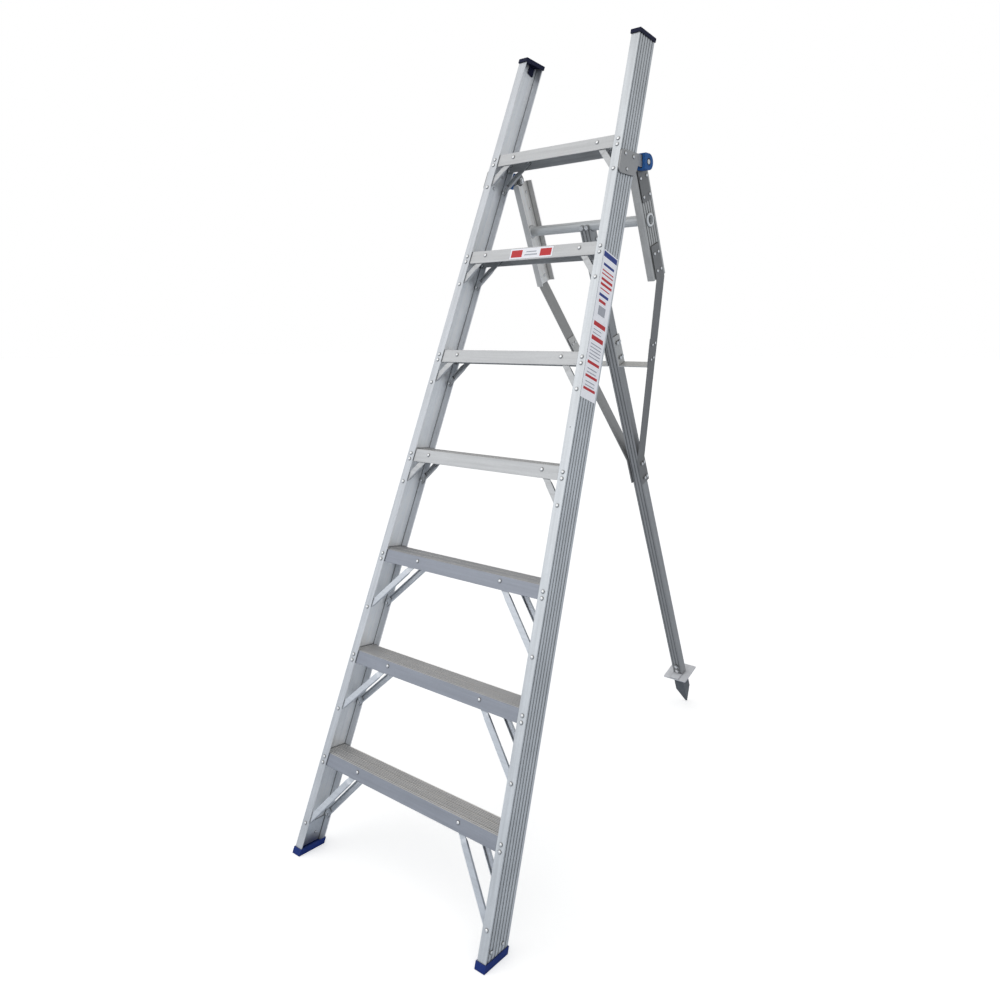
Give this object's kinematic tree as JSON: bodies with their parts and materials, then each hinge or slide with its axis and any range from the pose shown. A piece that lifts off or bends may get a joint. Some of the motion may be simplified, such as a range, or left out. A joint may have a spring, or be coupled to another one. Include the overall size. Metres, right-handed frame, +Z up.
{
  "type": "orchard tripod ladder",
  "caption": "Aluminium orchard tripod ladder: tapered front frame with braced flat treads, hinged single rear leg on a triangular head frame, spiked rear foot.",
  "frame": {"origin": "on the ground, on the centre plane, halfway between the front edge of the front feet and the rearmost point of the rear leg's spike", "axes": "+X to the right of a person who faces the treads, +Y from the treads towards the rear leg, +Z up"},
  "size_m": [0.7412, 1.6753, 2.2953],
  "materials": {
    "profile": "satin extruded, mill finish",
    "tread": "satin sheet",
    "brace": "satin sheet",
    "bracket": "matte",
    "leg": "satin extruded, darkened",
    "strap": "dull zinc plate",
    "tube": "zinc plate",
    "foot_steel": "pale galvanised",
    "spike": "dark, matte",
    "navy_plastic": "moulded, satin",
    "blue_plastic": "moulded, satin",
    "rivet": "bright",
    "bolt": "bright zinc plate"
  },
  "bodies": {
    "front_frame": {"left_stile": "profile", "right_stile": "profile", "left_foot": "navy_plastic", "right_foot": "navy_plastic", "left_top_cap": "navy_plastic", "right_top_cap": "navy_plastic", "left_foot_plate": "brace", "right_foot_plate": "brace", "left_hinge_bracket": "bracket", "right_hinge_bracket": "bracket", "left_hinge_housing": "blue_plastic", "right_hinge_housing": "blue_plastic", "tread_1": "tread", "tread_2": "tread", "tread_3": "tread", "tread_4": "tread", "tread_5": "tread", "tread_6": "tread", "tread_7": "tread", "short_braces": "brace", "long_braces": "brace", "bottom_braces": "brace", "tread_rivets": "rivet", "brace_rivets_on_treads": "rivet", "brace_rivets_on_stiles": "rivet", "stile_foot_rivets": "rivet", "bracket_rivets": "rivet", "pivot_bolts": "bolt", "pivot_nuts": "bolt"},
    "rear_frame": {"left_rear_channel": "profile", "right_rear_channel": "profile", "left_hinge_strap": "strap", "right_hinge_strap": "strap", "left_diagonal_strap": "strap", "right_diagonal_strap": "strap", "left_cross_strap": "strap", "right_cross_strap": "strap", "cross_tube": "tube", "rear_leg": "leg", "leg_head_bracket": "leg", "leg_foot_bracket": "foot_steel", "leg_foot_plate": "foot_steel", "foot_spike": "spike", "strap_rivets": "rivet", "diagonal_rivets": "rivet", "cross_strap_rivets": "rivet", "head_bracket_rivets": "rivet", "leg_strap_bolts": "bolt", "leg_strap_nuts": "bolt", "tube_bolts": "bolt", "tube_bolt_nuts": "bolt", "leg_foot_bolts": "bolt", "leg_foot_nuts": "bolt"}
  },
  "joints": [
    {"name": "rear_leg_hinge", "type": "hinge", "parent": "front_frame", "child": "rear_frame", "pos_m": [0, 0.00491, 1.94457], "axis": [-1, 0, 0], "range_deg": [0, 42]}
  ]
}
